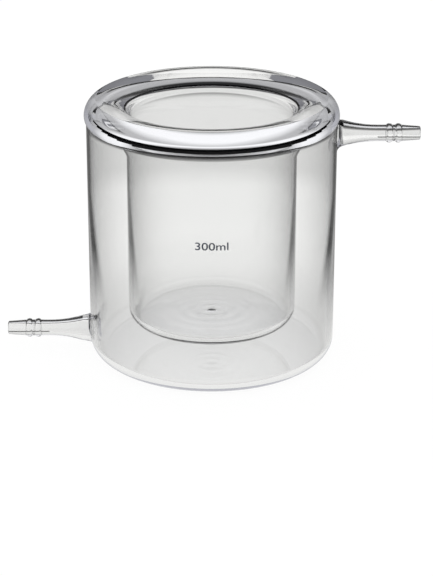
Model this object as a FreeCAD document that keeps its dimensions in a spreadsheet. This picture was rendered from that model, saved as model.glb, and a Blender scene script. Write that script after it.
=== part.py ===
import FreeCAD, Part
import math
import os
import Sketcher

# Jacketed beaker, 300 ml, borosilicate glass. Millimetres, +Z up, origin on the surface it stands
# on, below the middle of the jacket. The outlet port points along +X and the inlet port along -X.

# Driving sizes: name, value, what it is
SIZES = [
    # Jacket
    ("jacket_diameter", 110.0, "outside of the jacket tube"),
    ("jacket_wall", 2.8, "wall of the jacket tube and its bottom"),
    ("jacket_corner", 7.3, "outside radius where the wall turns into the bottom"),
    ("push_up", 1.2, "rise of the bottom's middle above the foot"),
    ("foot_width", 2.6, "flat ring that the beaker stands on"),
    # Ring seal
    ("overall_height", 118.0, "foot to the crown of the ring seal"),
    ("seal_height", 10.0, "crown above the seam where the jacket tube ends"),
    ("seal_proud", 0.9, "how far the ring seal bulges past the jacket tube"),
    ("seal_bulge_height", 2.6, "widest point above the seam"),
    ("seal_crown_inset", 5.4, "crown's distance inside the widest point"),
    ("seal_land", 1.8, "level crown from there in to the mouth's flare"),
    ("seal_roof", 3.7, "top of the water space above the seam, at the vessel"),
    ("seal_roof_fall", 1.1, "fall of the roof from there to its turn at the jacket"),
    ("seal_turn_width", 4.3, "how far the roof's turn reaches in from the jacket"),
    ("seal_turn_height", 5.6, "height of that turn, which starts below the seam"),
    ("seal_neck", 1.5, "rounding of the water space at the vessel"),
    ("seal_spread", 1.0, "how far the vessel's outside widens up to the seal"),
    ("seal_spread_height", 8.0, "height over which it widens"),
    # Inner vessel
    ("vessel_diameter", 75.0, "outside of the inner tube"),
    ("vessel_wall", 2.2, "wall of the inner tube"),
    ("vessel_base", 2.4, "thickness of the vessel's bottom"),
    ("vessel_lift", 15.3, "underside of the vessel above the table"),
    ("vessel_corner", 6.2, "outside radius of the vessel's bottom corner"),
    ("base_dome", 0.9, "rise of the vessel's bottom at its middle"),
    ("mouth_turn", 5.0, "radius where the straight wall turns into the mouth's flare"),
    ("mouth_slope", 0.416667, "rise of the flare's wide arc for each millimetre of its width"),
    # Ports, drawn out of the jacket wall
    ("outlet_drop", 6.2, "axis of the upper port below the seam"),
    ("inlet_height", 8.9, "axis of the lower port"),
    ("outlet_reach", 2.4, "upper neck's length past the jacket"),
    ("inlet_reach", 3.6, "lower neck's length past the jacket"),
    ("foot_flare", 1.7, "radius by which the neck widens where it leaves the wall"),
    ("neck_diameter", 11.6, "neck where the connector is sealed on"),
    ("neck_bore", 7.6, "water passage through the neck"),
    # Hose connectors
    ("connector_length", 34.0, "sealed end to nose"),
    ("taper_length", 15.0, "drawn-down stretch next to the neck"),
    ("tube_diameter", 7.2, "stem"),
    ("tube_bore", 4.4, "water passage through the stem"),
    ("ridge_diameter", 8.3, "crest of a hose ridge"),
    ("ridge_width", 2.6, "foot of a hose ridge along the stem"),
    ("ridge_crest", 1.1, "straight crest of a hose ridge"),
    ("ridge_place", 20.4, "middle of the first ridge from the sealed end"),
    ("ridge_pitch", 4.0, "ridge to ridge"),
    ("nose_diameter", 6.0, "tip of the nose"),
    ("nose_round", 0.6, "fire-polished edge of the tip"),
]
RIDGES = 2

doc = FreeCAD.newDocument("JacketedBeaker")
sheet = doc.addObject("Spreadsheet::Sheet", "Sizes")
for row, (name, size, note) in enumerate(SIZES, start=1):
    sheet.set("A%d" % row, note)
    sheet.set("B%d" % row, str(size))
    sheet.setAlias("B%d" % row, name)
doc.recompute()

# Places that several pieces share, as expressions of the sheet
JACKET_R = "Sizes.jacket_diameter / 2"
JACKET_IN = "(Sizes.jacket_diameter / 2 - Sizes.jacket_wall)"
CORNER_IN = "(Sizes.jacket_corner - Sizes.jacket_wall)"
CORNER_R = "(Sizes.jacket_diameter / 2 - Sizes.jacket_corner)"
FOOT_IN = "(Sizes.jacket_diameter / 2 - Sizes.jacket_corner - Sizes.foot_width)"
VESSEL_R = "Sizes.vessel_diameter / 2"
VESSEL_IN = "(Sizes.vessel_diameter / 2 - Sizes.vessel_wall)"
SEAM_Z = "(Sizes.overall_height - Sizes.seal_height)"
BULGE_R = "(Sizes.jacket_diameter / 2 + Sizes.seal_proud)"
BULGE_Z = "(%s + Sizes.seal_bulge_height)" % SEAM_Z
CROWN_R = "(%s - Sizes.seal_crown_inset)" % BULGE_R
ROOF_Z = "(%s + Sizes.seal_roof)" % SEAM_Z
PORT_Z = {"outlet": "(%s - Sizes.outlet_drop)" % SEAM_Z, "inlet": "Sizes.inlet_height"}
LEFT, RIGHT = 1, -1

# Flared mouth: a tight arc leaves the straight wall and a wide one runs out level at the crown,
# so its width and depth follow from the room between the vessel and the jacket
FLARE_R = "(%s - Sizes.seal_land)" % CROWN_R
FLARE_SIDE = "(%s - %s - Sizes.mouth_turn)" % (FLARE_R, VESSEL_IN)
FLARE_RISE = "(%s * Sizes.mouth_slope)" % FLARE_SIDE
FLARE_LOW = "(Sizes.overall_height - Sizes.mouth_turn - %s)" % FLARE_RISE
FLARE_STEP = "((%s ^ 2 + %s ^ 2) / (2 * %s))" % (FLARE_SIDE, FLARE_RISE, FLARE_RISE)
WIDE_RADIUS = "(Sizes.mouth_turn + %s)" % FLARE_STEP
TURN_R = "(%s + Sizes.mouth_turn * (1 - %s / %s))" % (VESSEL_IN, FLARE_SIDE, FLARE_STEP)
TURN_Z = "(%s + Sizes.mouth_turn * (1 - %s / %s))" % (FLARE_LOW, FLARE_RISE, FLARE_STEP)

# Roof of the water space: the jacket's wall turns inwards below the seam, up to the sloping roof
TURN_END_R = "(%s - Sizes.seal_turn_width)" % JACKET_IN
TURN_END_Z = "(%s - Sizes.seal_roof_fall)" % ROOF_Z
TURN_START_Z = "(%s - Sizes.seal_turn_height)" % TURN_END_Z
ROOF_TURN = "((Sizes.seal_turn_width ^ 2 + Sizes.seal_turn_height ^ 2) / (2 * Sizes.seal_turn_width))"
SEAM_IN = "(%s - %s + sqrt(%s ^ 2 - (%s - %s) ^ 2))" % (
    JACKET_IN, ROOF_TURN, ROOF_TURN, SEAM_Z, TURN_START_Z)

# Cylindrical face where the flared mouth is fused to the ring seal
SPREAD_R = "(%s + Sizes.seal_spread)" % VESSEL_R
SPREAD_END = "(%s - Sizes.seal_neck)" % ROOF_Z
JOINT_R = "(%s + Sizes.seal_neck)" % SPREAD_R
JOINT_Z = "(Sizes.overall_height - %s + sqrt(%s ^ 2 - (%s - %s) ^ 2))" % (
    WIDE_RADIUS, WIDE_RADIUS, FLARE_R, JOINT_R)


def value(expression):
    """Number that an expression of the sheet gives."""
    return float(sheet.evalExpression(expression))


def origin_item(body, role):
    """One of a body's own origin planes or axes."""
    return [item for item in body.Origin.OriginFeatures if item.Role == role][0]


def arc_between(start, end, radius, turn):
    """Arc under half a turn from start to end, with its centre on the left or the right of the way."""
    chord = end - start
    side = FreeCAD.Vector(-chord.y, chord.x, 0).normalize()
    rise = math.sqrt(max(radius ** 2 - chord.Length ** 2 / 4, 0.0))
    centre = (start + end) / 2 + side * rise * turn
    first, last = (start, end) if turn == LEFT else (end, start)
    angles = [math.atan2(p.y - centre.y, p.x - centre.x) for p in (first, last)]
    return Part.ArcOfCircle(Part.Circle(centre, FreeCAD.Vector(0, 0, 1), radius), angles[0], angles[1])


def closed_outline(body, name, corners):
    """Sketch on the body's XZ plane whose corners and radii are all held by the sheet.

    Each corner is (across, up) when a straight line leads to it, or (across, up, radius, side)
    when an arc does. All but side are expressions.
    """
    sketch = body.newObject("Sketcher::SketchObject", name)
    sketch.AttachmentSupport = [(origin_item(body, "XZ_Plane"), "")]
    sketch.MapMode = "FlatFace"
    places = [FreeCAD.Vector(value(corner[0]), value(corner[1]), 0) for corner in corners]
    ends = []
    for number, corner in enumerate(corners):
        start, end = places[number - 1], places[number]
        if len(corner) == 2:
            sketch.addGeometry(Part.LineSegment(start, end))
            ends.append((1, 2))
        else:
            radius, turn = corner[2], corner[3]
            sketch.addGeometry(arc_between(start, end, value(radius), turn))
            ends.append((1, 2) if turn == LEFT else (2, 1))
    for number, corner in enumerate(corners):
        follower = (number + 1) % len(corners)
        sketch.addConstraint(
            Sketcher.Constraint("Coincident", number, ends[number][1], follower, ends[follower][0])
        )
    for number, corner in enumerate(corners):
        end = ends[number][1]
        hold(sketch, "DistanceX", "PointOnObject", -2, number, end, corner[0], places[number].x)
        hold(sketch, "DistanceY", "PointOnObject", -1, number, end, corner[1], places[number].y)
        if len(corner) > 2:
            index = sketch.addConstraint(Sketcher.Constraint("Radius", number, value(corner[2])))
            sketch.setExpression("Constraints[%d]" % index, corner[2])
    return sketch


def hold(sketch, distance, on_axis, axis, number, end, expression, size):
    """Ties one coordinate of a corner to the sheet, or to the sketch's axis where it is zero."""
    if expression == "0":
        sketch.addConstraint(Sketcher.Constraint(on_axis, number, end, axis))
        return
    index = sketch.addConstraint(Sketcher.Constraint(distance, -1, 1, number, end, size))
    sketch.setExpression("Constraints[%d]" % index, expression)


def revolve(body, kind, name, sketch, axis):
    """Turns a sketch a full circle about its own vertical (V_Axis) or horizontal (H_Axis) axis."""
    feature = body.newObject(kind, name)
    feature.Profile = sketch
    feature.ReferenceAxis = (sketch, [axis])
    feature.Angle = 360.0
    doc.recompute()
    return feature


def new_body(label):
    """Empty body whose label is the name of its file."""
    body = doc.addObject("PartDesign::Body", label)
    body.Label = label
    return body


def dome_radius(half_width, rise):
    """Expression for the radius of an arc that starts level and falls by rise over half_width."""
    return "((%s) ^ 2 + (%s) ^ 2) / (2 * (%s))" % (half_width, rise, rise)


# Outer jacket: tube with a closed, pushed-up bottom
def make_outer_jacket():
    body = new_body("outer_jacket")
    dome = dome_radius(FOOT_IN, "Sizes.push_up")
    section = closed_outline(body, "jacket_section", [
        ("0", "Sizes.push_up"),
        (FOOT_IN, "0", dome, RIGHT),
        (CORNER_R, "0"),
        (JACKET_R, "Sizes.jacket_corner", "Sizes.jacket_corner", LEFT),
        (JACKET_R, SEAM_Z),
        (SEAM_IN, SEAM_Z),
        (JACKET_IN, TURN_START_Z, ROOF_TURN, RIGHT),
        (JACKET_IN, "Sizes.jacket_corner"),
        (CORNER_R, "Sizes.jacket_wall", CORNER_IN, RIGHT),
        (FOOT_IN, "Sizes.jacket_wall"),
        ("0", "Sizes.push_up + Sizes.jacket_wall", dome, LEFT),
    ])
    revolve(body, "PartDesign::Revolution", "jacket_wall", section, "V_Axis")
    for port, turned in (("outlet", 0.0), ("inlet", 180.0)):
        draw_out_port(body, port, turned)
    past_neck = "(Sizes.jacket_diameter / 2 + Sizes.outlet_reach + Sizes.neck_diameter)"
    above_foot = "(%s + Sizes.neck_diameter)" % SEAM_Z
    trim = closed_outline(body, "seam_trim_outline", [
        (VESSEL_IN, SEAM_Z),
        (past_neck, SEAM_Z),
        (past_neck, above_foot),
        (VESSEL_IN, above_foot),
    ])
    revolve(body, "PartDesign::Groove", "seam_trim", trim, "V_Axis")
    return body


def draw_out_port(body, port, turned):
    """Short flared neck drawn out of the jacket wall, and the water passage through it."""
    height = PORT_Z[port]
    mouth = "(Sizes.jacket_diameter / 2 + Sizes.%s_reach)" % port
    neck = "Sizes.neck_diameter / 2"
    foot = "(Sizes.neck_diameter / 2 + Sizes.foot_flare)"
    foot_start = "(Sizes.jacket_diameter / 2 - Sizes.jacket_wall * 0.2)"
    flare = dome_radius("%s - %s" % (mouth, foot_start), "Sizes.foot_flare")
    inside = "(Sizes.jacket_diameter / 2 - Sizes.jacket_wall * 0.85)"
    solid = closed_outline(body, port + "_neck_outline", [
        (inside, "0"),
        (mouth, "0"),
        (mouth, neck),
        (foot_start, foot, flare, RIGHT),
        (inside, foot),
    ])
    passage = closed_outline(body, port + "_passage_outline", [
        ("(Sizes.jacket_diameter / 2 - Sizes.jacket_wall * 2)", "0"),
        (mouth, "0"),
        (mouth, "Sizes.neck_bore / 2"),
        ("(Sizes.jacket_diameter / 2 - Sizes.jacket_wall * 2)", "Sizes.neck_bore / 2"),
    ])
    for sketch in (solid, passage):
        sketch.AttachmentOffset = FreeCAD.Placement(
            FreeCAD.Vector(0, value(height), 0), FreeCAD.Rotation(FreeCAD.Vector(0, 1, 0), turned)
        )
        sketch.setExpression("AttachmentOffset.Base.y", height)
    revolve(body, "PartDesign::Revolution", port + "_neck", solid, "H_Axis")
    before = body.Shape.Volume
    revolve(body, "PartDesign::Groove", port + "_passage", passage, "H_Axis")
    if body.Shape.Volume >= before:
        raise ValueError("the passage of the %s cuts nothing" % port)


# Ring seal: the thick fused ring that joins jacket and vessel at the mouth
def make_ring_seal():
    body = new_body("ring_seal")
    bulge = dome_radius("Sizes.seal_bulge_height", "Sizes.seal_proud")
    shoulder = dome_radius("Sizes.overall_height - %s" % BULGE_Z, "Sizes.seal_crown_inset")
    section = closed_outline(body, "seal_section", [
        (JACKET_R, SEAM_Z),
        (BULGE_R, BULGE_Z, bulge, LEFT),
        (CROWN_R, "Sizes.overall_height", shoulder, LEFT),
        (FLARE_R, "Sizes.overall_height"),
        (JOINT_R, JOINT_Z, WIDE_RADIUS, LEFT),
        (JOINT_R, ROOF_Z),
        (TURN_END_R, TURN_END_Z),
        (SEAM_IN, SEAM_Z, ROOF_TURN, RIGHT),
    ])
    revolve(body, "PartDesign::Revolution", "seal", section, "V_Axis")
    return body


# Inner vessel: the beaker proper, with a domed bottom and a mouth flared out to the ring seal
def make_inner_vessel():
    body = new_body("inner_vessel")
    base_r = "(Sizes.vessel_diameter / 2 - Sizes.vessel_corner)"
    floor_z = "(Sizes.vessel_lift + Sizes.vessel_base)"
    corner_in = "(Sizes.vessel_corner - Sizes.vessel_wall)"
    dome = dome_radius(base_r, "Sizes.base_dome")
    section = closed_outline(body, "vessel_section", [
        ("0", "Sizes.vessel_lift + Sizes.base_dome"),
        (base_r, "Sizes.vessel_lift", dome, RIGHT),
        (VESSEL_R, "(Sizes.vessel_lift + Sizes.vessel_corner)", "Sizes.vessel_corner", LEFT),
        (VESSEL_R, "(%s - Sizes.seal_spread_height)" % SPREAD_END),
        (SPREAD_R, SPREAD_END),
        (JOINT_R, ROOF_Z, "Sizes.seal_neck", RIGHT),
        (JOINT_R, JOINT_Z),
        (TURN_R, TURN_Z, WIDE_RADIUS, LEFT),
        (VESSEL_IN, FLARE_LOW, "Sizes.mouth_turn", LEFT),
        (VESSEL_IN, "(%s + %s)" % (floor_z, corner_in)),
        (base_r, floor_z, corner_in, RIGHT),
        ("0", "(%s + Sizes.base_dome)" % floor_z, dome, LEFT),
    ])
    revolve(body, "PartDesign::Revolution", "vessel", section, "V_Axis")
    return body


# Hose connectors: drawn-down stem with two ridges and a tapered nose, sealed to a neck
def make_hose_connector(label, port, turned):
    body = new_body(label)
    stem = "Sizes.tube_diameter / 2"
    bore = "Sizes.tube_bore / 2"
    neck = "Sizes.neck_diameter / 2"
    nose = "Sizes.nose_diameter / 2"
    taper = dome_radius("Sizes.taper_length", "(Sizes.neck_diameter - Sizes.tube_diameter) / 2")
    taper_bore = dome_radius("Sizes.taper_length", "(Sizes.neck_bore - Sizes.tube_bore) / 2")
    last_ridge = "(Sizes.ridge_place + Sizes.ridge_pitch * %d)" % (RIDGES - 1)
    section = closed_outline(body, "connector_section", [
        ("0", neck),
        ("Sizes.taper_length", stem, taper, LEFT),
        ("(%s + Sizes.ridge_width / 2)" % last_ridge, stem),
        ("(Sizes.connector_length - Sizes.nose_round)", nose),
        ("Sizes.connector_length", "(%s - Sizes.nose_round)" % nose, "Sizes.nose_round", RIGHT),
        ("Sizes.connector_length", bore),
        ("Sizes.taper_length", bore),
        ("0", "Sizes.neck_bore / 2", taper_bore, RIGHT),
    ])
    revolve(body, "PartDesign::Revolution", "stem", section, "H_Axis")
    ridge_start = "(Sizes.ridge_place - Sizes.ridge_width / 2)"
    ridge_end = "(Sizes.ridge_place + Sizes.ridge_width / 2)"
    root = "(Sizes.tube_diameter + Sizes.tube_bore) / 4"
    crest = "Sizes.ridge_diameter / 2"
    ridge = closed_outline(body, "ridge_outline", [
        (ridge_start, root),
        (ridge_start, stem),
        ("(Sizes.ridge_place - Sizes.ridge_crest / 2)", crest),
        ("(Sizes.ridge_place + Sizes.ridge_crest / 2)", crest),
        (ridge_end, stem),
        (ridge_end, root),
    ])
    first = revolve(body, "PartDesign::Revolution", "ridge", ridge, "H_Axis")
    row = body.newObject("PartDesign::LinearPattern", "ridges")
    row.Originals = [first]
    row.Direction = (ridge, ["H_Axis"])
    row.Length = value("Sizes.ridge_pitch") * (RIDGES - 1)
    row.setExpression("Length", "Sizes.ridge_pitch * %d" % (RIDGES - 1))
    row.Occurrences = RIDGES
    body.Tip = row
    side = -1.0 if turned else 1.0
    body.Placement = FreeCAD.Placement(
        FreeCAD.Vector(0, 0, 0), FreeCAD.Rotation(FreeCAD.Vector(0, 0, 1), turned)
    )
    body.setExpression("Placement.Base.x", "%g * (%s + Sizes.%s_reach)" % (side, JACKET_R, port))
    body.setExpression("Placement.Base.z", PORT_Z[port])
    doc.recompute()
    return body


pieces = [
    make_outer_jacket(),
    make_ring_seal(),
    make_inner_vessel(),
    make_hose_connector("outlet_hose_connector", "outlet", 0.0),
    make_hose_connector("inlet_hose_connector", "inlet", 180.0),
]
doc.recompute()

for item in doc.Objects:
    if "Invalid" in item.State or "Error" in item.State:
        raise ValueError("%s did not build: %s" % (item.Label, item.State))
for piece in pieces:
    shape = piece.Shape
    if shape.isNull() or not shape.isValid() or len(shape.Solids) != 1:
        raise ValueError("%s is not one sound solid" % piece.Label)

os.makedirs("parts", exist_ok=True)
for piece in pieces:
    piece.Shape.exportStep(os.path.join("parts", piece.Label + ".step"))
    print("%-24s %8.1f mm3  %s" % (piece.Label, piece.Shape.Volume, piece.Shape.BoundBox))
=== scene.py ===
import logging
import math
from dataclasses import dataclass, field
from enum import Enum
from typing import ClassVar

import bmesh
import bpy
from mathutils import Matrix, Vector


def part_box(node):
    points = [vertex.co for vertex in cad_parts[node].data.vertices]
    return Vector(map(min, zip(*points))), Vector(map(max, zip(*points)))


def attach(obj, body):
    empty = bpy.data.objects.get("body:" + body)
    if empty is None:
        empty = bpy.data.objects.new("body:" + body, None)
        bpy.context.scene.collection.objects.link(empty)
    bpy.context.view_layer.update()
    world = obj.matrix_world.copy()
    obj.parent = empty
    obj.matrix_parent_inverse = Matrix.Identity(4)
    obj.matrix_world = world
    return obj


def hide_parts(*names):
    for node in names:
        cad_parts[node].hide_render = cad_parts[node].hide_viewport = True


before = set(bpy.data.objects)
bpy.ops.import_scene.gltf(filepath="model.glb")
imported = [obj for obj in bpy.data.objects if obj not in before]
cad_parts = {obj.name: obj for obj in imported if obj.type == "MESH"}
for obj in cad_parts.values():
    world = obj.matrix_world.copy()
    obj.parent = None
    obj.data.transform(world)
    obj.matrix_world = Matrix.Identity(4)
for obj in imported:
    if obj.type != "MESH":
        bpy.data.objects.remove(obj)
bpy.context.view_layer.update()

log = logging.getLogger("jacketed_beaker")

# The sections are drawn in millimetres, as the CAD source draws them, and built in metres
MM = 0.001
UPRIGHT = Vector((0.0, 0.0, 1.0))
LYING = Vector((1.0, 0.0, 0.0))

# Faces round a turned piece
GLASS_STEPS = 256
STEM_STEPS = 96

# Corners this close together, in metres, are one corner
SAME_CORNER = 1e-7

# A corner this close to a surface lies on it, and a face's middle this close to a limit is
# short of it, in millimetres
ON_SURFACE = 1e-3
SHORT_OF = 0.01


class Turn(Enum):
    """Side of the way on which an arc has its centre."""

    LEFT = 1
    RIGHT = -1


class Face(Enum):
    """Kind of a face on a piece of glass, by its material place.

    CLEAR is plain glass, FUSED lies inside the glass where two pieces are melted into one, WALL is the
    outside of a drawn tube, SHADE a black face of painted shade on the water side and FLARE the inside of
    the mouth.
    """

    CLEAR = 0
    FUSED = 1
    WALL = 2
    SHADE = 3
    FLARE = 4


class Skin(Enum):
    """Side of the jacket wall that a surface belongs to."""

    OUTSIDE = "outside"
    WATER_SIDE = "water side"


# Finishes


class NodeBoard:
    """Node tree of a material or a world, with short ways to add and join its nodes."""

    def __init__(self, tree: bpy.types.NodeTree) -> None:
        """Empties the tree.

        Args:
            tree: the node tree to fill.
        """
        self.tree = tree
        tree.nodes.clear()

    def add(self, kind: str, **values: object) -> bpy.types.Node:
        """Adds a node.

        Args:
            kind: Blender's name of the node's type.
            values: properties of the node to set.

        Returns:
            The new node.
        """
        node = self.tree.nodes.new(kind)
        for name, value in values.items():
            setattr(node, name, value)
        return node

    def join(self, source: bpy.types.NodeSocket, target: bpy.types.NodeSocket) -> None:
        """Links an output to an input."""
        self.tree.links.new(source, target)

    def finish(self, shader: bpy.types.NodeSocket) -> None:
        """Joins a shader to the material's output."""
        output = self.add("ShaderNodeOutputMaterial")
        self.join(shader, output.inputs["Surface"])

    def ease(self, source: bpy.types.NodeSocket, low: float, high: float) -> bpy.types.NodeSocket:
        """Smooth step of a value from 0 at low to 1 at high, also where low is the larger."""
        node = self.add("ShaderNodeMapRange", interpolation_type="SMOOTHSTEP")
        node.inputs["From Min"].default_value = low
        node.inputs["From Max"].default_value = high
        self.join(source, node.inputs["Value"])
        return node.outputs["Result"]

    def ramp(self, source: bpy.types.NodeSocket, stops: list[tuple[float, float]]) -> bpy.types.NodeSocket:
        """Level that runs straight from stop to stop.

        Args:
            source: value from 0 to 1.
            stops: values and the levels that belong to them.

        Returns:
            The level.
        """
        node = self.add("ShaderNodeValToRGB")
        elements = node.color_ramp.elements
        elements.remove(elements[1])
        for number, (place, level) in enumerate(stops):
            element = elements[0] if number == 0 else elements.new(place)
            element.color = (level, level, level, 1.0)
        self.join(source, node.inputs["Fac"])
        return node.outputs["Color"]

    def choose(self, test: bpy.types.NodeSocket, yes: object, no: object) -> bpy.types.NodeSocket:
        """One value where a test is 1 and another where it is 0."""
        node = self.add("ShaderNodeMix", data_type="FLOAT")
        self.join(test, node.inputs["Factor"])
        floats = [socket for socket in node.inputs if socket.type == "VALUE" and socket.name in "AB"]
        for socket, value in zip(floats, (no, yes)):
            if isinstance(value, (int, float)):
                socket.default_value = value
            else:
                self.join(value, socket)
        return [socket for socket in node.outputs if socket.type == "VALUE"][0]

    def blend(self, low: object, high: object, part: bpy.types.NodeSocket) -> bpy.types.NodeSocket:
        """Colour between two colours, each a socket or three numbers."""
        node = self.add("ShaderNodeMix", data_type="RGBA")
        self.join(part, node.inputs["Factor"])
        colours = [socket for socket in node.inputs if socket.type == "RGBA"]
        for socket, colour in zip(colours, (low, high)):
            if isinstance(colour, tuple):
                socket.default_value = (*colour, 1.0)
            else:
                self.join(colour, socket)
        return [socket for socket in node.outputs if socket.type == "RGBA"][0]

    def maths(self, operation: str, *values: object) -> bpy.types.NodeSocket:
        """Result of a Math node whose inputs are numbers or sockets."""
        node = self.add("ShaderNodeMath", operation=operation)
        for place, value in enumerate(values):
            if isinstance(value, (int, float)):
                node.inputs[place].default_value = value
            else:
                self.join(value, node.inputs[place])
        return node.outputs[0]


@dataclass(frozen=True)
class Finish:
    """Material of one Principled shader."""

    name: str

    def inputs(self) -> dict[str, object]:
        """Values of the shader's own sockets."""
        return {}

    def dress(self, board: NodeBoard, shader: bpy.types.Node) -> None:
        """Joins to the shader what isn't one plain value. A plain finish has nothing to join."""

    def material(self) -> bpy.types.Material:
        """Makes the material."""
        material = bpy.data.materials.new(self.name)
        material.use_nodes = True
        board = NodeBoard(material.node_tree)
        shader = board.add("ShaderNodeBsdfPrincipled")
        for name, value in self.inputs().items():
            shader.inputs[name].default_value = value
        self.dress(board, shader)
        board.finish(shader.outputs["BSDF"])
        return material


@dataclass(frozen=True)
class ClearGlass(Finish):
    """Clear borosilicate glass.

    Where a ray has been mirrored more than a set number of times, the glass gives out an even
    painted glow, with no lamp behind it, which lightens what would be dark there.
    """

    tint: tuple[float, float, float] = (0.985, 0.986, 0.985)
    refraction: float = 1.474
    # Painted glow: how often a ray must be mirrored before the glass glows, how strongly, and in what
    # colour
    painted_glow_from: float = 3.5
    painted_glow: float = 0.0
    painted_glow_colour: tuple[float, float, float] = (0.90, 0.91, 1.0)

    def inputs(self) -> dict[str, object]:
        """Values of clear glass."""
        return {
            "Base Color": (*self.tint, 1.0),
            "Roughness": 0.0,
            "IOR": self.refraction,
            "Transmission Weight": 1.0,
            "Emission Color": (*self.painted_glow_colour, 1.0),
        }

    def dress(self, board: NodeBoard, shader: bpy.types.Node) -> None:
        """Joins the painted glow where a ray has been mirrored many times."""
        depth = board.add("ShaderNodeLightPath").outputs["Glossy Depth"]
        glow_here = board.maths("GREATER_THAN", depth, self.painted_glow_from)
        board.join(board.maths("MULTIPLY", glow_here, self.painted_glow), shader.inputs["Emission Strength"])


@dataclass(frozen=True)
class ShadedWallGlass(ClearGlass):
    """The same glass on the outside of a drawn tube, with painted shade for the dark edges that it shows
    above the bright table.

    The facing value runs from 0, where the surface faces the eye, to 1 at its outline. The painted grey
    towards the sides comes in from side_from to side_full. The painted dark line comes in from dark_from
    to dark_full and goes out from light_from to light_full, in the colour and in the reflection. It drifts
    towards the outline with the height above the middle, up to drift_top, and fades out downwards from
    fade_high to fade_low. With ends_fade it fades towards the connectors, and with upper_side it keeps to
    the upper side. Heights are in metres.
    """

    # Painted shade: the grey towards the sides, and the colour of the painted dark line
    painted_side_shade: tuple[float, float, float] = (0.62, 0.62, 0.62)
    side_from: float = 0.08
    side_full: float = 0.62
    painted_edge_shade: tuple[float, float, float] = (0.002, 0.002, 0.002)
    dark_from: float = 0.60
    dark_full: float = 0.71
    light_from: float = 0.79
    light_full: float = 0.87
    middle: float = 0.056
    drift: float = 4.2
    drift_top: float = 0.080
    fade_low: float = 0.026
    fade_high: float = 0.056
    ends_fade: bool = False
    end_from: float = 0.55
    end_full: float = 0.85
    upper_side: bool = False
    upper_full: float = 0.5

    def dress(self, board: NodeBoard, shader: bpy.types.Node) -> None:
        """Joins the painted grey towards the sides, and the painted dark line a little inside the outline.
        """
        super().dress(board, shader)
        facing = board.add("ShaderNodeLayerWeight").outputs["Facing"]
        place = board.add("ShaderNodeTexCoord")
        split = board.add("ShaderNodeSeparateXYZ")
        board.join(place.outputs["Object"], split.inputs["Vector"])
        height = board.maths("MINIMUM", split.outputs["Z"], self.drift_top)
        above = board.maths("SUBTRACT", height, self.middle)
        shifted = board.maths("SUBTRACT", facing, board.maths("MULTIPLY", above, self.drift))
        inner = board.ease(shifted, self.dark_from, self.dark_full)
        outer = board.ease(shifted, self.light_full, self.light_from)
        high = board.ease(split.outputs["Z"], self.fade_low, self.fade_high)
        edge = board.maths("MULTIPLY", board.maths("MULTIPLY", inner, outer), high)
        side = board.ease(facing, self.side_from, self.side_full)
        if self.ends_fade:
            edge = board.maths("MULTIPLY", edge, self.front_and_back(board, place))
        if self.upper_side:
            facing_up = board.add("ShaderNodeSeparateXYZ")
            board.join(place.outputs["Normal"], facing_up.inputs["Vector"])
            edge = board.maths("MULTIPLY", edge, board.ease(facing_up.outputs["Z"], 0.0, self.upper_full))
        # Painted shade in the colour, and the painted dark line also darkens the reflection
        colour = board.blend(board.blend(self.tint, self.painted_side_shade, side), self.painted_edge_shade, edge)
        board.join(colour, shader.inputs["Base Color"])
        board.join(board.blend((1.0, 1.0, 1.0), self.painted_edge_shade, edge), shader.inputs["Specular Tint"])

    def front_and_back(self, board: NodeBoard, place: bpy.types.Node) -> bpy.types.NodeSocket:
        """Value that falls from 1 at the front and the back to 0 towards the connectors."""
        flat = board.add("ShaderNodeVectorMath", operation="MULTIPLY")
        flat.inputs[1].default_value = (1.0, 1.0, 0.0)
        board.join(place.outputs["Object"], flat.inputs[0])
        way = board.add("ShaderNodeVectorMath", operation="NORMALIZE")
        board.join(flat.outputs["Vector"], way.inputs[0])
        parts = board.add("ShaderNodeSeparateXYZ")
        board.join(way.outputs["Vector"], parts.inputs["Vector"])
        return board.ease(board.maths("ABSOLUTE", parts.outputs["Y"]), self.end_from, self.end_full)


@dataclass(frozen=True)
class SealShade(Finish):
    """Black face of painted shade on the water side of the thick seal, put where the glass shows only
    darkness.
    """

    name: str = "seal_shade"
    colour: tuple[float, float, float] = (0.004, 0.004, 0.005)

    def inputs(self) -> dict[str, object]:
        """Values of a black face of painted shade, which mirrors nothing."""
        return {"Base Color": (*self.colour, 1.0), "Roughness": 1.0, "Specular IOR Level": 0.0}


@dataclass(frozen=True)
class FusedFace(Finish):
    """Face inside the glass where two pieces are melted into one, which light passes untouched."""

    name: str = "fused_face"

    def inputs(self) -> dict[str, object]:
        """Value of an invisible face."""
        return {"Alpha": 0.0}


@dataclass(frozen=True)
class FiredEnamel(Finish):
    """Thin blue-grey enamel fired onto the glass."""

    name: str = "mark_enamel"
    colour: tuple[float, float, float] = (0.06, 0.08, 0.13)
    roughness: float = 0.45

    def inputs(self) -> dict[str, object]:
        """Values of satin enamel."""
        return {"Base Color": (*self.colour, 1.0), "Roughness": self.roughness}


# Outlines


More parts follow.
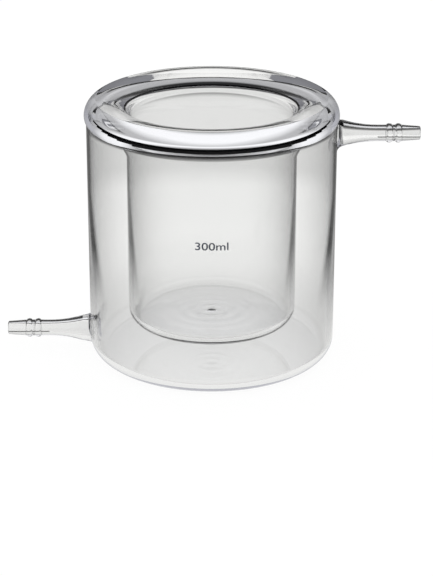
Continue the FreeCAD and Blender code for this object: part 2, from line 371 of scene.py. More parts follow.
@dataclass
class Section:
    """Outline of a turned piece, drawn corner by corner with straight stretches and arcs."""

    points: list[tuple[float, float]] = field(default_factory=list)
    arc_step: float = math.radians(3.0)
    support: float = 0.4

    def start(self, across: float, up: float) -> "Section":
        """First corner."""
        self.points.append((across, up))
        return self

    def line(self, across: float, up: float) -> "Section":
        """Straight stretch, with a point near each end so that its shading stays flat.

        Args:
            across: distance of the end from the axis.
            up: height of the end.

        Returns:
            The outline itself.
        """
        start, end = Vector(self.points[-1]), Vector((across, up))
        way = end - start
        if way.length > 6 * self.support:
            near = start + way.normalized() * self.support
            far = end - way.normalized() * self.support
            self.points += [tuple(near), tuple(far)]
        self.points.append((across, up))
        return self

    def rows(self, across: float, levels: list[float]) -> "Section":
        """Upright stretch with a point at each of the levels."""
        self.points += [(across, level) for level in levels]
        return self

    def arc(self, across: float, up: float, radius: float, turn: Turn) -> "Section":
        """Arc under half a turn.

        Args:
            across: distance of the end from the axis.
            up: height of the end.
            radius: radius of the arc.
            turn: side of the way on which the centre lies.

        Returns:
            The outline itself.
        """
        start, end = Vector(self.points[-1]), Vector((across, up))
        chord = end - start
        side = Vector((-chord.y, chord.x)).normalized() * turn.value
        rise = math.sqrt(max(radius ** 2 - chord.length_squared / 4, 0.0))
        centre = (start + end) / 2 + side * rise
        first = math.atan2(start.y - centre.y, start.x - centre.x)
        sweep = 2 * math.asin(min(chord.length / (2 * radius), 1.0)) * turn.value
        count = max(3, math.ceil(abs(sweep) / self.arc_step))
        for number in range(1, count):
            angle = first + sweep * number / count
            self.points.append((centre.x + radius * math.cos(angle), centre.y + radius * math.sin(angle)))
        self.points.append((across, up))
        return self

    def turned(self, axis: Vector, steps: int, closed: bool) -> bmesh.types.BMesh:
        """Spins the outline a full circle.

        Args:
            axis: direction of the axis, which runs through the origin.
            steps: faces round the circle.
            closed: whether the last corner joins the first. An open outline starts and ends on
                the axis.

        Returns:
            A closed mesh whose faces point outwards.
        """
        mesh = bmesh.new()
        corners = [mesh.verts.new((across * MM, 0.0, up * MM)) for across, up in self.points]
        edges = [mesh.edges.new(pair) for pair in zip(corners, corners[1:])]
        if closed:
            edges.append(mesh.edges.new((corners[-1], corners[0])))
        bmesh.ops.spin(mesh, geom=corners + edges, cent=(0, 0, 0), axis=axis, angle=math.tau,
                       steps=steps, use_merge=True, use_duplicate=False)
        bmesh.ops.remove_doubles(mesh, verts=mesh.verts, dist=SAME_CORNER)
        bmesh.ops.recalc_face_normals(mesh, faces=mesh.faces)
        return mesh


# Pieces


def set_out(name: str, mesh: bmesh.types.BMesh, materials: list[bpy.types.Material]) -> bpy.types.Object:
    """Turns a mesh into an object of the scene.

    Args:
        name: name of the object.
        mesh: the mesh, which is used up.
        materials: its material places.

    Returns:
        The object.
    """
    data = bpy.data.meshes.new(name)
    mesh.to_mesh(data)
    mesh.free()
    for material in materials:
        data.materials.append(material)
    thing = bpy.data.objects.new(name, data)
    bpy.context.scene.collection.objects.link(thing)
    return thing


@dataclass
class BeakerSizes:
    """Sizes in millimetres that several pieces share, taken from the frame where it has them."""

    jacket_radius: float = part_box("outer_jacket")[1].y / MM
    seam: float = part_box("ring_seal")[0].z / MM
    top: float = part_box("ring_seal")[1].z / MM
    joint_radius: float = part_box("inner_vessel")[1].y / MM
    vessel_under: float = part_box("inner_vessel")[0].z / MM
    jacket_wall: float = 2.8
    jacket_corner: float = 7.3
    vessel_radius: float = 37.5
    vessel_wall: float = 2.2
    seal_roof: float = 3.7
    roof_fall: float = 1.1
    turn_width: float = 4.3
    turn_height: float = 5.6
    seal_neck: float = 1.5
    spread: float = 1.0
    spread_height: float = 8.0
    mouth_width: float = 13.4
    mouth_depth: float = 8.5
    mouth_turn: float = 5.0

    @property
    def jacket_inside(self) -> float:
        """Radius of the jacket's water side."""
        return self.jacket_radius - self.jacket_wall

    @property
    def vessel_inside(self) -> float:
        """Radius of the vessel's inside."""
        return self.vessel_radius - self.vessel_wall

    @property
    def roof(self) -> float:
        """Height of the top of the water space."""
        return self.seam + self.seal_roof

    @property
    def roof_turn(self) -> float:
        """Radius with which the jacket's wall turns inwards to the roof."""
        return (self.turn_width ** 2 + self.turn_height ** 2) / (2 * self.turn_width)

    @property
    def turn_start(self) -> float:
        """Height at which that turn starts."""
        return self.roof - self.roof_fall - self.turn_height

    def inside_at(self, height: float) -> float:
        """Radius of the jacket's water side at a height, the turn to the roof included."""
        rise = max(height - self.turn_start, 0.0)
        return self.jacket_inside - self.roof_turn + math.sqrt(max(self.roof_turn ** 2 - rise ** 2, 0.0))

    @property
    def flare_end(self) -> float:
        """Radius at which the flared mouth is level with the crown."""
        return self.vessel_inside + self.mouth_width

    @property
    def flare_step(self) -> float:
        """Difference between the radii of the mouth's two arcs."""
        side = self.mouth_width - self.mouth_turn
        rise = self.mouth_depth - self.mouth_turn
        return (side ** 2 + rise ** 2) / (2 * rise)

    @property
    def wide_radius(self) -> float:
        """Radius of the wide arc of the flared mouth."""
        return self.mouth_turn + self.flare_step

    @property
    def turn_point(self) -> tuple[float, float]:
        """Where the tight arc of the mouth meets the wide one."""
        side = self.mouth_width - self.mouth_turn
        rise = self.mouth_depth - self.mouth_turn
        across = self.vessel_inside + self.mouth_turn * (1 - side / self.flare_step)
        up = self.top - self.mouth_depth + self.mouth_turn * (1 - rise / self.flare_step)
        return across, up

    @property
    def joint_top(self) -> float:
        """Height of the mouth's inside where vessel and ring seal are fused."""
        reach = self.flare_end - self.joint_radius
        return self.top - self.wide_radius + math.sqrt(self.wide_radius ** 2 - reach ** 2)


@dataclass
class GlassPiece:
    """Any piece of glass, fused to its neighbours, that stands for one node of the frame.

    A face is part of the flare if its middle is within arc_slack of the wide arc and not further
    outwards than crown_slack past the arc's end at the crown.
    """

    arc_slack: ClassVar[float] = 0.1
    crown_slack: ClassVar[float] = 0.2

    sizes: BeakerSizes
    node: str
    slot: str
    materials: dict[Face, bpy.types.Material]

    def place(self, mesh: bmesh.types.BMesh) -> bpy.types.Object:
        """Makes the object, dresses it and ties it to the frame.

        Args:
            mesh: closed mesh whose faces have the material places of their kinds.

        Returns:
            The finished piece.
        """
        for edge in mesh.edges:
            fused = {face.material_index == Face.FUSED.value for face in edge.link_faces}
            edge.smooth = len(fused) == 1
        used = sorted({face.material_index for face in mesh.faces})
        for face in mesh.faces:
            face.smooth = True
            face.material_index = used.index(face.material_index)
        piece = set_out(self.node + "_glass", mesh, [self.materials[Face(kind)] for kind in used])
        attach(piece, "root")
        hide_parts(self.node)
        log.info("%s: %d faces", piece.name, len(piece.data.polygons))
        return piece

    @staticmethod
    def mark_level(mesh: bmesh.types.BMesh, level: float) -> None:
        """Marks the faces that lie flat at a height as fused."""
        for face in mesh.faces:
            if all(abs(corner.co.z / MM - level) < ON_SURFACE for corner in face.verts):
                face.material_index = Face.FUSED.value

    def mark_flare(self, mesh: bmesh.types.BMesh) -> None:
        """Gives the flare of the mouth its own material place."""
        sizes = self.sizes
        centre_up = sizes.top - sizes.wide_radius
        for face in mesh.faces:
            place = face.calc_center_median() / MM
            way = Vector((math.hypot(place.x, place.y) - sizes.flare_end, place.z - centre_up))
            if way.x < self.crown_slack and abs(way.length - sizes.wide_radius) < self.arc_slack:
                face.material_index = Face.FLARE.value

    @staticmethod
    def paint_shade_ring(mesh: bmesh.types.BMesh, low: tuple[float, float], high: tuple[float, float],
                  narrow_from: float = 0.0, narrow_to: float = 0.0) -> None:
        """Paints shade on a ring of faces, which can grow narrower towards the connectors.

        Args:
            mesh: the piece so far.
            low: least radius and height of the faces, in millimetres.
            high: greatest radius and height.
            narrow_from: sine of the direction, seen from the connectors, up to which it is whole.
            narrow_to: sine of the direction at which it ends.
        """
        for face in mesh.faces:
            place = face.calc_center_median() / MM
            across = math.hypot(place.x, place.y)
            part = 1.0
            if narrow_from > 0:
                sine = abs(place.y) / max(across, ON_SURFACE)
                part = min(max((sine - narrow_to) / (narrow_from - narrow_to), 0.0), 1.0)
            bottom = high[1] - (high[1] - low[1]) * part
            if low[0] <= across <= high[0] and bottom <= place.z <= high[1] and part > 0:
                face.material_index = Face.SHADE.value

    @staticmethod
    def mark_round(mesh: bmesh.types.BMesh, radius: float, kind: Face) -> None:
        """Gives the faces that lie on an upright cylinder a material place."""
        for face in mesh.faces:
            reaches = [math.hypot(corner.co.x, corner.co.y) / MM for corner in face.verts]
            if all(abs(reach - radius) < ON_SURFACE for reach in reaches):
                face.material_index = kind.value


@dataclass
class Neck:
    """Flared neck that is drawn out of the jacket wall, with the water passage through it."""

    side: float
    height: float
    mouth: float
    foot: float
    foot_up: float
    passage_foot: float
    radius: float = 5.8
    passage: float = 3.8
    rings: int = 8
    sweep: float = math.radians(72.0)

    def foot_at(self, angle: float, skin: Skin) -> float:
        """Radius of the neck's foot on a skin of the wall, in a direction round its axis."""
        if skin is Skin.WATER_SIDE:
            return self.passage_foot
        if math.sin(angle) <= 0:
            return self.foot
        return min(self.foot, self.foot_up / math.sin(angle))

    def end_radius(self, skin: Skin) -> float:
        """Radius of the neck's or the passage's end."""
        return self.radius if skin is Skin.OUTSIDE else self.passage


@dataclass
class OuterJacket(GlassPiece):
    """Jacket tube with its closed, pushed-up bottom and the two necks for the connectors.

    The wall has a row of faces end_row from each end, and rows row_step apart round the necks. A face
    is opened for a neck if it is within skin_slack of the wall and foot_slack of the neck's foot.
    """

    push_up: float = 1.2
    foot_width: float = 2.6
    row_step: float = 1.3
    end_row: float = 0.4
    skin_slack: float = 0.3
    foot_slack: float = 0.1
    shade_height: float = 0.5
    shade_width: float = 3.0
    necks: list[Neck] = field(default_factory=list)

    def wall_radius(self, height: float, skin: Skin) -> float:
        """Radius of a skin of the wall at a height, rounded corner included."""
        sizes = self.sizes
        if skin is Skin.WATER_SIDE and height > sizes.turn_start:
            return sizes.inside_at(height)
        centre = sizes.jacket_radius - sizes.jacket_corner
        corner = sizes.jacket_corner - (0.0 if skin is Skin.OUTSIDE else sizes.jacket_wall)
        drop = max(sizes.jacket_corner - height, 0.0)
        return centre + math.sqrt(max(corner ** 2 - drop ** 2, 0.0))

    def levels(self) -> list[float]:
        """Heights of the rows of faces on the wall, close together round the necks."""
        sizes = self.sizes
        rows = [sizes.jacket_corner + self.end_row]
        for neck in sorted(self.necks, key=lambda each: each.height):
            bottom = max(neck.height - neck.foot - 2 * self.row_step, rows[-1] + self.row_step)
            top = min(neck.height + neck.foot + 2 * self.row_step, sizes.seam - self.end_row)
            count = math.ceil((top - bottom) / self.row_step)
            rows += [bottom + (top - bottom) * number / count for number in range(count + 1)]
        return rows

    def build(self) -> bpy.types.Object:
        """Builds the jacket.

        Returns:
            The jacket as one closed piece, fused faces at the seam and at the necks' ends.
        """
        sizes = self.sizes
        centre = sizes.jacket_radius - sizes.jacket_corner
        foot_in = centre - self.foot_width
        dome = (foot_in ** 2 + self.push_up ** 2) / (2 * self.push_up)
        levels = self.levels()
        section = Section()
        section.start(0.0, self.push_up)
        section.arc(foot_in, 0.0, dome, Turn.RIGHT)
        section.line(centre, 0.0)
        section.arc(sizes.jacket_radius, sizes.jacket_corner, sizes.jacket_corner, Turn.LEFT)
        section.rows(sizes.jacket_radius, levels)
        section.rows(sizes.jacket_radius, [sizes.seam])
        for level in [sizes.seam, *levels[::-1]]:
            section.rows(self.wall_radius(level, Skin.WATER_SIDE), [level])
        section.rows(sizes.jacket_inside, [sizes.jacket_corner])
        corner_in = sizes.jacket_corner - sizes.jacket_wall
        section.arc(centre, sizes.jacket_wall, corner_in, Turn.RIGHT)
        section.line(foot_in, sizes.jacket_wall)
        section.arc(0.0, self.push_up + sizes.jacket_wall, dome, Turn.LEFT)
        mesh = section.turned(UPRIGHT, GLASS_STEPS, closed=False)
        self.mark_round(mesh, sizes.jacket_radius, Face.WALL)
        self.mark_level(mesh, sizes.seam)
        # Painted shade: a ring of black faces on the water side just under the seam
        self.paint_shade_ring(mesh, (sizes.jacket_inside - self.shade_width, sizes.seam - self.shade_height),
                       (sizes.jacket_inside + SHORT_OF, sizes.seam - SHORT_OF))
        for neck in self.necks:
            self.draw_out(mesh, neck)
        bmesh.ops.recalc_face_normals(mesh, faces=mesh.faces)
        return self.place(mesh)

    def draw_out(self, mesh: bmesh.types.BMesh, neck: Neck) -> None:
        """Opens both skins of the wall, draws each out to the neck's end and closes the end.

        Args:
            mesh: the jacket so far.
            neck: the neck to draw out.
        """
        outer = self.draw_skin(mesh, neck, Skin.OUTSIDE, set())
        inner = self.draw_skin(mesh, neck, Skin.WATER_SIDE, set(outer))
        ring = bmesh.ops.bridge_loops(mesh, edges=outer + inner)
        for face in ring["faces"]:
            face.material_index = Face.FUSED.value

    def draw_skin(self, mesh: bmesh.types.BMesh, neck: Neck, skin: Skin,
                  taken: set[bmesh.types.BMEdge]) -> list[bmesh.types.BMEdge]:
        """Opens one skin of the wall and draws it out.

        Args:
            mesh: the jacket so far.
            neck: the neck to draw out.
            skin: side of the wall.
            taken: open edges that belong to the other skin.

        Returns:
            The open edges at the neck's end.
        """
        opening = [face for face in mesh.faces if self.in_foot(face, neck, skin)]
        bmesh.ops.delete(mesh, geom=opening, context="FACES")
        rim = [edge for edge in mesh.edges if edge.is_boundary and edge not in taken]
        for number in range(neck.rings + 1):
            drawn = bmesh.ops.extrude_edge_only(mesh, edges=rim)["geom"]
            rim = [part for part in drawn if isinstance(part, bmesh.types.BMEdge) and part.is_boundary]
            corners = [part for part in drawn if isinstance(part, bmesh.types.BMVert)]
            for corner in corners:
                corner.co = self.neck_point(corner.co, neck, skin, number / neck.rings)
        return rim

    def in_foot(self, face: bmesh.types.BMFace, neck: Neck, skin: Skin) -> bool:
        """Whether a face of the wall lies at least partly inside a neck's foot."""
        if face.calc_center_median().x * neck.side < 0:
            return False
        for corner in face.verts:
            place = corner.co / MM
            off_skin = abs(math.hypot(place.x, place.y) - self.wall_radius(place.z, skin))
            if off_skin > self.skin_slack:
                return False
        for corner in face.verts:
            place = corner.co / MM
            up = place.z - neck.height
            angle = math.atan2(up, place.y)
            if math.hypot(place.y, up) < neck.foot_at(angle, skin) + self.foot_slack:
                return True
        return False

    def neck_point(self, place: Vector, neck: Neck, skin: Skin, part: float) -> Vector:
        """Point of the flare in the direction of an earlier point.

        Args:
            place: the earlier point, in metres.
            neck: the neck.
            skin: side of the wall.
            part: 0 at the foot and 1 at the neck's end.

        Returns:
            The point, in metres.
        """
        angle = math.atan2(place.z / MM - neck.height, place.y / MM)
        foot = neck.foot_at(angle, skin)
        turn = neck.sweep * part
        across = foot + (neck.end_radius(skin) - foot) * math.sin(turn) / math.sin(neck.sweep)
        side = across * math.cos(angle)
        height = neck.height + across * math.sin(angle)
        wall = math.sqrt(self.wall_radius(height, skin) ** 2 - side ** 2)
        reach = wall + (neck.mouth - wall) * (1 - math.cos(turn)) / (1 - math.cos(neck.sweep))
        return Vector((neck.side * reach, side, height)) * MM


@dataclass
class RingSeal(GlassPiece):
    """Thick fused ring that joins the jacket to the vessel's flared mouth.

    A ring of painted shade, black faces, lies in the turn to the roof, shade_drop under its end and from
    shade_from to shade_to outside it. It narrows towards the connectors, from the sine shade_whole to the
    sine shade_end. A second ring of painted shade, seam_shade high, lies above the seam.
    """

    proud: float = 0.9
    bulge_height: float = 2.6
    crown_inset: float = 5.4
    shade_height: float = 1.0
    shade_drop: float = 0.4
    shade_from: float = 0.3
    shade_to: float = 3.0
    shade_whole: float = 0.80
    shade_end: float = 0.25
    seam_shade: float = 0.8

    def build(self) -> bpy.types.Object:
        """Builds the ring, fused faces at the seam and at the vessel."""
        sizes = self.sizes
        bulge = (self.bulge_height ** 2 + self.proud ** 2) / (2 * self.proud)
        bulge_radius = sizes.jacket_radius + self.proud
        rise = sizes.top - sizes.seam - self.bulge_height
        shoulder = (rise ** 2 + self.crown_inset ** 2) / (2 * self.crown_inset)
        section = Section()
        section.start(sizes.inside_at(sizes.seam), sizes.seam)
        section.rows(sizes.jacket_radius, [sizes.seam])
        section.arc(bulge_radius, sizes.seam + self.bulge_height, bulge, Turn.LEFT)
        section.arc(bulge_radius - self.crown_inset, sizes.top, shoulder, Turn.LEFT)
        section.line(sizes.flare_end, sizes.top)
        section.arc(sizes.joint_radius, sizes.joint_top, sizes.wide_radius, Turn.LEFT)
        section.rows(sizes.joint_radius, [sizes.roof])
        section.line(sizes.jacket_inside - sizes.turn_width, sizes.roof - sizes.roof_fall)
        section.arc(sizes.inside_at(sizes.seam), sizes.seam, sizes.roof_turn, Turn.RIGHT)
        section.points.pop()
        mesh = section.turned(UPRIGHT, GLASS_STEPS, closed=True)
        self.mark_level(mesh, sizes.seam)
        self.mark_round(mesh, sizes.joint_radius, Face.FUSED)
        # Painted shade: black rings on the water side, in the turn to the roof and above the seam
        turn_end = sizes.jacket_inside - sizes.turn_width
        shade_top = sizes.roof - sizes.roof_fall - self.shade_drop
        self.paint_shade_ring(mesh, (turn_end + self.shade_from, shade_top - self.shade_height),
                       (turn_end + self.shade_to, shade_top), self.shade_whole, self.shade_end)
        self.paint_shade_ring(mesh, (turn_end, sizes.seam), (sizes.jacket_inside, sizes.seam + self.seam_shade))
        self.mark_flare(mesh)
        return self.place(mesh)


@dataclass
class InnerVessel(GlassPiece):
    """The beaker proper: tube with a domed bottom and a flared mouth."""

    base: float = 2.4
    corner: float = 6.2
    dome: float = 0.9
    shade_height: float = 0.28
    ripple: float = 0.11
    ripple_length: float = 6.0
    ripple_reach: float = 15.0
    ripple_points: int = 90
    knob: float = 0.4
    knob_radius: float = 2.3

    def floor_height(self, across: float, floor: float, base_radius: float) -> float:
        """Height of the inside of the blown bottom, which is rippled round its middle.

        Args:
            across: distance from the axis.
            floor: height of the bottom's edge.
            base_radius: radius of the bottom's edge.

        Returns:
            The height.
        """
        dome = self.dome * (1 - (across / base_radius) ** 2)
        fading = math.exp(-((across / self.ripple_reach) ** 2))
        ripple = self.ripple * math.cos(math.tau * across / self.ripple_length) * fading
        knob = self.knob * math.exp(-((across / self.knob_radius) ** 2))
        return floor + dome + ripple + knob

    def build(self) -> bpy.types.Object:
        """Builds the vessel, fused face at the ring seal."""
        sizes = self.sizes
        base_radius = sizes.vessel_radius - self.corner
        corner_in = self.corner - sizes.vessel_wall
        floor = sizes.vessel_under + self.base
        dome = (base_radius ** 2 + self.dome ** 2) / (2 * self.dome)
        section = Section()
        section.start(0.0, sizes.vessel_under + self.dome)
        section.arc(base_radius, sizes.vessel_under, dome, Turn.RIGHT)
        section.arc(sizes.vessel_radius, sizes.vessel_under + self.corner, self.corner, Turn.LEFT)
        spread_end = sizes.roof - sizes.seal_neck
        section.line(sizes.vessel_radius, spread_end - sizes.spread_height)
        section.line(sizes.vessel_radius + sizes.spread, spread_end)
        section.arc(sizes.joint_radius, sizes.roof, sizes.seal_neck, Turn.RIGHT)
        section.rows(sizes.joint_radius, [sizes.joint_top])
        section.arc(*sizes.turn_point, sizes.wide_radius, Turn.LEFT)
        section.arc(sizes.vessel_inside, sizes.top - sizes.mouth_depth, sizes.mouth_turn, Turn.LEFT)
        section.line(sizes.vessel_inside, floor + corner_in)
        section.arc(base_radius, floor, corner_in, Turn.RIGHT)
        for number in range(self.ripple_points - 1, -1, -1):
            across = base_radius * number / self.ripple_points
            section.points.append((across, self.floor_height(across, floor, base_radius)))
        mesh = section.turned(UPRIGHT, GLASS_STEPS, closed=False)
        self.mark_round(mesh, sizes.joint_radius, Face.FUSED)
        self.mark_round(mesh, sizes.vessel_radius, Face.WALL)
        # Painted shade: a thin ring of black faces on the outside of the neck just under the roof
        self.paint_shade_ring(mesh, (sizes.vessel_radius + sizes.spread, sizes.roof - self.shade_height),
                       (sizes.joint_radius - SHORT_OF, sizes.roof))
        self.mark_flare(mesh)
        return self.place(mesh)


@dataclass
class HoseConnector(GlassPiece):
    """Drawn-down stem with two hose ridges and a tapered nose."""

    neck: float = 5.8
    neck_bore: float = 3.8
    stem: float = 3.6
    bore: float = 2.2
    bore_slack: float = 0.4
    taper: float = 15.0
    ridge: float = 4.15
    ridge_places: tuple[float, float] = (20.4, 24.4)
    ridge_width: float = 2.6
    ridge_crest: float = 1.1
    flank_radius: float = 1.2
    crest_radius: float = 2.0
    nose: float = 3.0
    nose_round: float = 0.6

    def build(self) -> bpy.types.Object:
        """Builds the connector where the frame has it, fused face at the neck."""
        low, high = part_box(self.node)
        length = (high.x - low.x) / MM
        drop = self.neck - self.stem
        bore_drop = self.neck_bore - self.bore
        section = Section()
        section.start(0.0, self.neck)
        section.arc(self.taper, self.stem, (self.taper ** 2 + drop ** 2) / (2 * drop), Turn.LEFT)
        for place in self.ridge_places:
            section.line(place - self.ridge_width / 2, self.stem)
            section.arc(place - self.ridge_crest / 2, self.ridge, self.flank_radius, Turn.RIGHT)
            section.arc(place + self.ridge_crest / 2, self.ridge, self.crest_radius, Turn.RIGHT)
            section.arc(place + self.ridge_width / 2, self.stem, self.flank_radius, Turn.RIGHT)
        section.line(length - self.nose_round, self.nose)
        section.arc(length, self.nose - self.nose_round, self.nose_round, Turn.RIGHT)
        section.line(length, self.bore)
        section.line(self.taper, self.bore)
        bore_taper = (self.taper ** 2 + bore_drop ** 2) / (2 * bore_drop)
        section.arc(0.0, self.neck_bore, bore_taper, Turn.RIGHT)
        mesh = section.turned(LYING, STEM_STEPS, closed=True)
        for face in mesh.faces:
            place = face.calc_center_median() / MM
            passage = self.bore + bore_drop * (1 - place.x / self.taper)
            if all(abs(corner.co.x / MM) < ON_SURFACE for corner in face.verts):
                face.material_index = Face.FUSED.value
            elif math.hypot(place.y, place.z) > passage + self.bore_slack:
                face.material_index = Face.WALL.value
        start = low.x
        if low.x < 0:
            half_turn = Matrix.Rotation(math.pi, 3, "Z")
            bmesh.ops.rotate(mesh, verts=mesh.verts, cent=(0, 0, 0), matrix=half_turn)
            start = high.x
        bmesh.ops.translate(mesh, verts=mesh.verts, vec=(start, 0.0, (low.z + high.z) / 2))
        return self.place(mesh)


@dataclass
class VolumeMark:
    """Volume in plain figures, fired onto the front of the vessel."""

    sizes: BeakerSizes
    finish: FiredEnamel
    text: str = "300ml"
    height: float = 4.9
    middle: float = 62.8
    stretch: float = 1.22
    weight: float = 0.05
    skin: float = 0.03

    def build(self) -> bpy.types.Object:
        """Writes the mark as a mesh and wraps it round the tube.

        Returns:
            The mark, which rides with the glass.
        """
        writing = bpy.data.curves.new("volume_mark", "FONT")
        writing.body = self.text
        writing.size = self.height * MM
        writing.offset = self.weight * MM
        writing.align_x = "CENTER"
        writing.align_y = "CENTER"
        sheet = bpy.data.objects.new("volume_mark_text", writing)
        letters = bpy.data.meshes.new_from_object(sheet)
        bpy.data.objects.remove(sheet)
        radius = (self.sizes.vessel_radius + self.skin) * MM
        mesh = bmesh.new()
        mesh.from_mesh(letters)
        bpy.data.meshes.remove(letters)
        bmesh.ops.subdivide_edges(mesh, edges=mesh.edges, cuts=1)
        for corner in mesh.verts:
            angle = corner.co.x * self.stretch / radius
            corner.co = Vector((
                radius * math.sin(angle), -radius * math.cos(angle), corner.co.y + self.middle * MM
            ))
        piece = set_out("volume_mark", mesh, [self.finish.material()])
        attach(piece, "root")
        log.info("%s: %d faces", piece.name, len(piece.data.polygons))
        return piece


# Studio


@dataclass
class Studio:
    """White table, even light, the camera, and the room with soft boxes that the clear glass shows."""

    mirrored: float = 0.3
    table_radius: float = 4.0
    table_steps: int = 96
    table_drop: float = 0.0003
    table_reach: float = 1.2
    table_matt: float = 0.06
    table_glow: float = 0.955
    table_light: tuple[float, float, float] = (1.0, 1.0, 0.99)
    room_light: tuple[float, float, float] = (0.965, 0.97, 1.0)
    focal_pixels: float = 1902.5
    distance: float = 0.85
    elevation: float = math.radians(20.424)
    aim_height: float = 0.0575
    axis_pixel: tuple[float, float] = (211.8, 227.4)
    picture: tuple[int, int] = (433, 576)
    sensor: float = 36.0

    def room_levels(self) -> list[tuple[float, float]]:
        """Brightness of the room by the sine of the height above the horizon."""
        return [(0.0, 0.03), (0.09, 0.03), (0.15, 0.48), (0.31, 0.52), (0.40, 0.80), (0.50, 1.06),
                (0.68, 1.06), (0.74, 0.80), (0.80, 0.42), (0.88, 0.22), (0.94, 0.06), (1.0, 0.02)]

    def table_levels(self) -> list[tuple[float, float]]:
        """Brightness of the table as the glass shows it, by the distance from the beaker, in metres;
        darker next to the beaker, a painted shadow.
        """
        # The low level next to the beaker is a painted shadow
        return [(0.0, 0.74), (0.055, 0.80), (0.09, 0.88), (0.12, 0.98), (0.15, 1.03), (0.20, 1.03),
                (0.228, 1.02), (0.262, 0.80), (0.36, 0.82), (0.50, 0.82), (0.62, 0.45), (0.80, 0.22),
                (1.2, 0.11)]

    def mirrored_levels(self) -> list[tuple[float, float]]:
        """Brightness of the table, by the distance, where the glass mirrors it."""
        return [(0.0, 0.9), (0.060, 0.9), (0.12, 0.28), (0.40, 0.25), (1.2, 0.03)]

    def world(self) -> None:
        """Lights evenly, and shows clear glass a ring of soft boxes between dark floor and ceiling."""
        world = bpy.data.worlds.new("studio")
        world.use_nodes = True
        bpy.context.scene.world = world
        board = NodeBoard(world.node_tree)
        way = board.add("ShaderNodeTexCoord")
        split = board.add("ShaderNodeSeparateXYZ")
        board.join(way.outputs["Generated"], split.inputs["Vector"])
        seen = board.ramp(split.outputs["Z"], self.room_levels())
        path = board.add("ShaderNodeLightPath")
        mirrored = board.maths("MULTIPLY", seen, self.mirrored)
        level = board.choose(path.outputs["Is Glossy Ray"], mirrored, 1.0)
        level = board.choose(path.outputs["Is Transmission Ray"], seen, level)
        light = board.add("ShaderNodeBackground")
        colour = board.blend((1.0, 1.0, 1.0), self.room_light, path.outputs["Is Transmission Ray"])
        board.join(colour, light.inputs["Color"])
        board.join(level, light.inputs["Strength"])
        output = board.add("ShaderNodeOutputWorld")
        board.join(light.outputs["Background"], output.inputs["Surface"])

    def table(self) -> bpy.types.Object:
        """Lays the white table, which keeps the shadow, just under the beaker."""
        mesh = bmesh.new()
        bmesh.ops.create_circle(mesh, cap_ends=True, segments=self.table_steps, radius=self.table_radius)
        table = set_out("table", mesh, [self.table_white()])
        table.location.z = -self.table_drop
        return table

    def table_white(self) -> bpy.types.Material:
        """Makes the table's finish.

        Returns:
            Matt white for the eye. Glass shows it less bright far from the beaker, and less again
            where it mirrors it. Through the glass it is also darker next to the beaker: a painted shadow.
        """
        material = bpy.data.materials.new("table_white")
        material.use_nodes = True
        board = NodeBoard(material.node_tree)
        place = board.add("ShaderNodeTexCoord")
        length = board.add("ShaderNodeVectorMath", operation="LENGTH")
        board.join(place.outputs["Object"], length.inputs[0])
        part = board.maths("DIVIDE", length.outputs["Value"], self.table_reach)
        seen, mirrored = (
            board.ramp(part, [(distance / self.table_reach, level) for distance, level in levels])
            for levels in (self.table_levels(), self.mirrored_levels())
        )
        path = board.add("ShaderNodeLightPath")
        clear = board.add("ShaderNodeEmission")
        clear.inputs["Color"].default_value = (*self.table_light, 1.0)
        # Light that was also mirrored on its way through the glass is halfway between the two
        was_mirrored = board.maths("MINIMUM", path.outputs["Glossy Depth"], 1.0)
        halfway = board.maths("MULTIPLY", board.maths("ADD", seen, mirrored), 0.5)
        through = board.choose(was_mirrored, halfway, seen)
        level = board.choose(path.outputs["Is Transmission Ray"], through, mirrored)
        board.join(level, clear.inputs["Strength"])
        matt = board.add("ShaderNodeBsdfDiffuse")
        matt.inputs["Color"].default_value = (*(self.table_matt,) * 3, 1.0)
        glow = board.add("ShaderNodeEmission")
        glow.inputs["Strength"].default_value = self.table_glow
        lit_table = board.add("ShaderNodeAddShader")
        board.join(matt.outputs["BSDF"], lit_table.inputs[0])
        board.join(glow.outputs["Emission"], lit_table.inputs[1])
        total = board.add("ShaderNodeMixShader")
        ways = [path.outputs["Is Glossy Ray"], path.outputs["Is Transmission Ray"]]
        board.join(board.maths("MAXIMUM", *ways), total.inputs["Fac"])
        board.join(lit_table.outputs["Shader"], total.inputs[1])
        board.join(clear.outputs["Emission"], total.inputs[2])
        board.finish(total.outputs["Shader"])
        return material

    def camera(self) -> None:
        """Sets the camera where the photograph was taken from."""
        lens = bpy.data.cameras.new("camera")
        camera = bpy.data.objects.new("camera", lens)
        bpy.context.scene.collection.objects.link(camera)
        camera.location = (
            0.0,
            -self.distance * math.cos(self.elevation),
            self.aim_height + self.distance * math.sin(self.elevation),
        )
        camera.rotation_euler = (math.pi / 2 - self.elevation, 0.0, 0.0)
        lens.sensor_fit = "VERTICAL"
        lens.sensor_height = self.sensor
        width, height = self.picture
        lens.lens = self.focal_pixels * self.sensor / height
        lens.shift_x = (width / 2 - self.axis_pixel[0]) / height
        lens.shift_y = (self.axis_pixel[1] - height / 2) / height
        bpy.context.scene.camera = camera

    def build(self) -> None:
        """Sets up the whole studio."""
        bpy.context.scene.view_settings.view_transform = "Standard"
        self.world()
        self.table()
        self.camera()


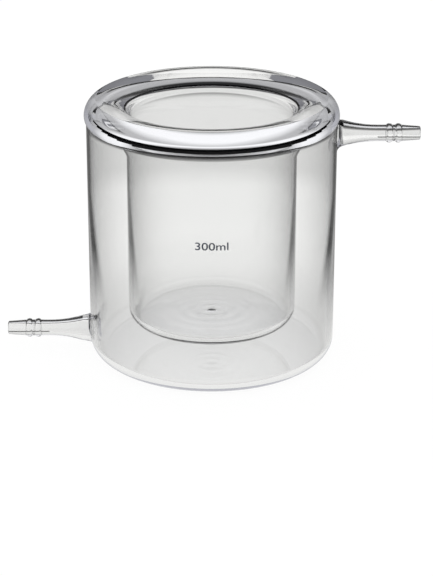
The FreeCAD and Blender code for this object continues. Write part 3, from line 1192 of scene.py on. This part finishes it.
def glass_finishes() -> dict[str, dict[Face, bpy.types.Material]]:
    """Makes the finishes of all the glass.

    Returns:
        The material of each kind of face, by the kind of piece.
    """
    # Painted shade on the outsides of the tubes and the flare, and a painted glow in the jacket, the seal
    # and the flare
    flare = ShadedWallGlass(
        "flare_glass", painted_glow=0.28, dark_from=0.58, dark_full=0.66, light_from=0.80,
        light_full=0.86, drift=0.0, painted_side_shade=(0.95, 0.95, 0.95), painted_edge_shade=(0.01, 0.01, 0.01),
        ends_fade=True,
    )
    vessel_wall = ShadedWallGlass("vessel_wall_glass", dark_full=0.70, light_from=0.83, light_full=0.92)
    stem_wall = ShadedWallGlass(
        "stem_wall_glass", dark_from=0.24, dark_full=0.40, light_from=0.62, light_full=0.80, drift=0.0,
        fade_low=-0.02, fade_high=-0.01, painted_side_shade=(0.98, 0.98, 0.98), painted_edge_shade=(0.004, 0.004, 0.004),
        upper_side=True,
    )
    shared = {
        Face.FUSED: FusedFace().material(),
        Face.SHADE: SealShade().material(),
        Face.FLARE: flare.material(),
    }
    own = {
        "jacket": (ClearGlass("jacket_glass", painted_glow=0.25), ShadedWallGlass("jacket_wall_glass")),
        "seal": (ClearGlass("seal_glass", painted_glow=0.28),),
        "vessel": (ClearGlass("vessel_glass"), vessel_wall),
        "stem": (ClearGlass("stem_glass"), stem_wall),
    }
    finishes = {}
    for kind, glasses in own.items():
        made = [glass.material() for glass in glasses]
        finishes[kind] = {**dict(zip((Face.CLEAR, Face.WALL), made)), **shared}
    return finishes


def main() -> None:
    """Builds the beaker piece by piece, then the studio."""
    logging.basicConfig(level=logging.INFO, format="%(message)s")
    sizes = BeakerSizes()
    glass = glass_finishes()
    necks = [
        Neck(side=1.0, height=101.8, mouth=57.4, foot=8.6, foot_up=5.5, passage_foot=5.4),
        Neck(side=-1.0, height=8.9, mouth=58.6, foot=7.4, foot_up=7.4, passage_foot=5.0),
    ]
    pieces = [
        OuterJacket(sizes, "outer_jacket", "jacket_glass", glass["jacket"], necks=necks),
        RingSeal(sizes, "ring_seal", "seal_glass", glass["seal"]),
        InnerVessel(sizes, "inner_vessel", "vessel_glass", glass["vessel"]),
        HoseConnector(sizes, "outlet_hose_connector", "connector_glass", glass["stem"]),
        HoseConnector(sizes, "inlet_hose_connector", "connector_glass", glass["stem"]),
    ]
    for piece in pieces:
        piece.build()
    VolumeMark(sizes, FiredEnamel()).build()
    Studio().build()


if __name__ == "__main__":
    main()
